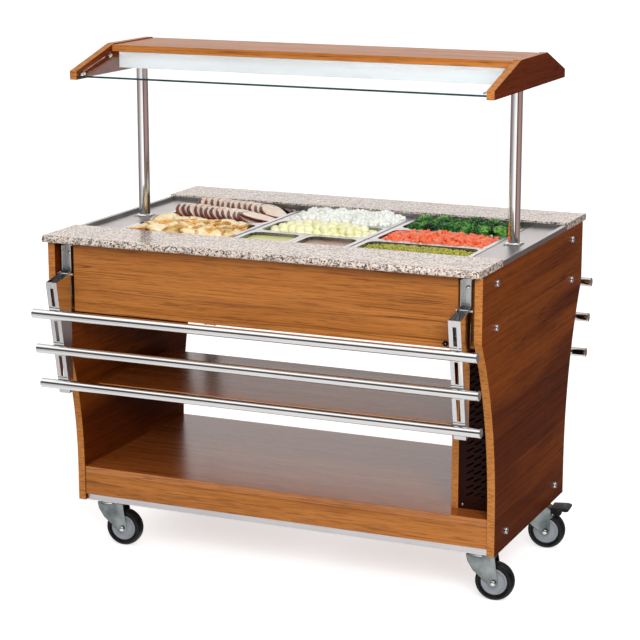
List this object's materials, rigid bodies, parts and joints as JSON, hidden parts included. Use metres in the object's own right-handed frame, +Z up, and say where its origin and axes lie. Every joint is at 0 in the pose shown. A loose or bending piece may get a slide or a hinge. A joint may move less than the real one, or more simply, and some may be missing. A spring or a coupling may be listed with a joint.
{
  "type": "food service trolley",
  "caption": "Wooden self-service buffet trolley with a steel well of food pans, granite counter strips, a canopy on two posts, folding tray slides and castors.",
  "frame": {"origin": "on the floor, under the centre of the whole trolley's bounding box with its tray slides folded down; the body's own middle is 15.5 mm to the left of it, because the castors trail to the right", "axes": "+X along the trolley to the right as its user sees it from the front, +Y to the rear, +Z up"},
  "size_m": [1.223, 0.9604, 1.336],
  "materials": {
    "wood_laminate": "satin teak-coloured laminate with straight grain",
    "granite": "polished pinkish grey granite with dark specks",
    "stainless_steel": "brushed stainless steel",
    "polished_steel": "mirror-polished stainless steel",
    "aluminium": "pale satin aluminium",
    "zinc_plate": "zinc-plated pressed steel",
    "grey_plastic": "grey moulded plastic",
    "black_rubber": "matt black rubber",
    "black_plastic": "black moulded plastic",
    "brown_painted_steel": "dark brown powder coat",
    "white_painted_steel": "white enamel",
    "clear_glass": "clear toughened glass with a dark green edge"
  },
  "bodies": {
    "root": {"side_panel_left": "wood_laminate", "side_panel_right": "wood_laminate", "base_board": "wood_laminate", "base_apron_front": "wood_laminate", "base_apron_rear": "wood_laminate", "middle_shelf": "wood_laminate", "partition": "wood_laminate", "upper_apron_front": "wood_laminate", "upper_apron_rear": "wood_laminate", "canopy_end_left": "wood_laminate", "canopy_end_right": "wood_laminate", "canopy_lid": "wood_laminate", "granite_front": "granite", "granite_rear": "granite", "steel_well": "stainless_steel", "tray_bracket_front_left": "stainless_steel", "tray_bracket_front_right": "stainless_steel", "tray_bracket_rear_left": "stainless_steel", "tray_bracket_rear_right": "stainless_steel", "post_left": "polished_steel", "post_right": "polished_steel", "chassis_frame": "aluminium", "grille_front": "brown_painted_steel", "grille_rear": "brown_painted_steel", "lamp_housing": "white_painted_steel", "glass_front": "clear_glass", "glass_rear": "clear_glass"},
    "tray_slide_front": {"tray_arm_front_left": "polished_steel", "tray_arm_front_right": "polished_steel", "tray_rail_front_1": "polished_steel", "tray_rail_front_2": "polished_steel", "tray_rail_front_3": "polished_steel"},
    "tray_slide_rear": {"tray_arm_rear_left": "polished_steel", "tray_arm_rear_right": "polished_steel", "tray_rail_rear_1": "polished_steel", "tray_rail_rear_2": "polished_steel", "tray_rail_rear_3": "polished_steel"},
    "castor_front_left": {"fork_front_left": "zinc_plate"},
    "wheel_front_left": {"hub_front_left": "grey_plastic", "tyre_front_left": "black_rubber"},
    "castor_front_right": {"fork_front_right": "zinc_plate"},
    "wheel_front_right": {"hub_front_right": "grey_plastic", "tyre_front_right": "black_rubber"},
    "castor_rear_left": {"fork_rear_left": "zinc_plate"},
    "wheel_rear_left": {"hub_rear_left": "grey_plastic", "tyre_rear_left": "black_rubber"},
    "brake_rear_left": {"brake_pedal_rear_left": "black_plastic"},
    "castor_rear_right": {"fork_rear_right": "zinc_plate"},
    "wheel_rear_right": {"hub_rear_right": "grey_plastic", "tyre_rear_right": "black_rubber"},
    "brake_rear_right": {"brake_pedal_rear_right": "black_plastic"},
    "pan_left_1": {"pan_left_1": "stainless_steel"},
    "pan_left_2": {"pan_left_2": "stainless_steel"},
    "pan_middle_1": {"pan_middle_1": "stainless_steel"},
    "pan_middle_2": {"pan_middle_2": "stainless_steel"},
    "pan_middle_3": {"pan_middle_3": "stainless_steel"},
    "pan_middle_4": {"pan_middle_4": "stainless_steel"},
    "pan_right_1": {"pan_right_1": "stainless_steel"},
    "pan_right_2": {"pan_right_2": "stainless_steel"},
    "pan_right_3": {"pan_right_3": "stainless_steel"}
  },
  "joints": [
    {"name": "tray_slide_front_hinge", "type": "hinge", "parent": "root", "child": "tray_slide_front", "pos_m": [-0.01549, -0.402, 0.776], "axis": [-1, 0, 0], "range_deg": [0, 100]},
    {"name": "tray_slide_rear_hinge", "type": "hinge", "parent": "root", "child": "tray_slide_rear", "pos_m": [-0.01549, 0.402, 0.776], "axis": [1, 0, 0], "range_deg": [0, 100]},
    {"name": "castor_front_left_swivel", "type": "hinge", "parent": "root", "child": "castor_front_left", "pos_m": [-0.54049, -0.215, 0.118], "axis": [0, 0, 1], "continuous": true},
    {"name": "wheel_front_left_spin", "type": "hinge", "parent": "castor_front_left", "child": "wheel_front_left", "pos_m": [-0.50263, -0.21169, 0.05], "axis": [-0.0872, 0.9962, 0], "continuous": true},
    {"name": "castor_front_right_swivel", "type": "hinge", "parent": "root", "child": "castor_front_right", "pos_m": [0.50951, -0.215, 0.118], "axis": [0, 0, 1], "continuous": true},
    {"name": "wheel_front_right_spin", "type": "hinge", "parent": "castor_front_right", "child": "wheel_front_right", "pos_m": [0.54737, -0.21169, 0.05], "axis": [-0.0872, 0.9962, 0], "continuous": true},
    {"name": "castor_rear_left_swivel", "type": "hinge", "parent": "root", "child": "castor_rear_left", "pos_m": [-0.54049, 0.215, 0.118], "axis": [0, 0, 1], "continuous": true},
    {"name": "wheel_rear_left_spin", "type": "hinge", "parent": "castor_rear_left", "child": "wheel_rear_left", "pos_m": [-0.50263, 0.21831, 0.05], "axis": [-0.0872, 0.9962, 0], "continuous": true},
    {"name": "brake_rear_left_pedal", "type": "hinge", "parent": "castor_rear_left", "child": "brake_rear_left", "pos_m": [-0.48271, 0.22006, 0.1], "axis": [-0.0872, 0.9962, 0], "range_deg": [0, 8]},
    {"name": "castor_rear_right_swivel", "type": "hinge", "parent": "root", "child": "castor_rear_right", "pos_m": [0.50951, 0.215, 0.118], "axis": [0, 0, 1], "continuous": true},
    {"name": "wheel_rear_right_spin", "type": "hinge", "parent": "castor_rear_right", "child": "wheel_rear_right", "pos_m": [0.54737, 0.21831, 0.05], "axis": [-0.0872, 0.9962, 0], "continuous": true},
    {"name": "brake_rear_right_pedal", "type": "hinge", "parent": "castor_rear_right", "child": "brake_rear_right", "pos_m": [0.56729, 0.22006, 0.1], "axis": [-0.0872, 0.9962, 0], "range_deg": [0, 8]},
    {"name": "pan_left_1_lift", "type": "slide", "parent": "root", "child": "pan_left_1", "axis": [0, 0, 1], "range_m": [0, 0.16]},
    {"name": "pan_left_2_lift", "type": "slide", "parent": "root", "child": "pan_left_2", "axis": [0, 0, 1], "range_m": [0, 0.16]},
    {"name": "pan_middle_1_lift", "type": "slide", "parent": "root", "child": "pan_middle_1", "axis": [0, 0, 1], "range_m": [0, 0.16]},
    {"name": "pan_middle_2_lift", "type": "slide", "parent": "root", "child": "pan_middle_2", "axis": [0, 0, 1], "range_m": [0, 0.16]},
    {"name": "pan_middle_3_lift", "type": "slide", "parent": "root", "child": "pan_middle_3", "axis": [0, 0, 1], "range_m": [0, 0.16]},
    {"name": "pan_middle_4_lift", "type": "slide", "parent": "root", "child": "pan_middle_4", "axis": [0, 0, 1], "range_m": [0, 0.16]},
    {"name": "pan_right_1_lift", "type": "slide", "parent": "root", "child": "pan_right_1", "axis": [0, 0, 1], "range_m": [0, 0.16]},
    {"name": "pan_right_2_lift", "type": "slide", "parent": "root", "child": "pan_right_2", "axis": [0, 0, 1], "range_m": [0, 0.16]},
    {"name": "pan_right_3_lift", "type": "slide", "parent": "root", "child": "pan_right_3", "axis": [0, 0, 1], "range_m": [0, 0.16]}
  ]
}
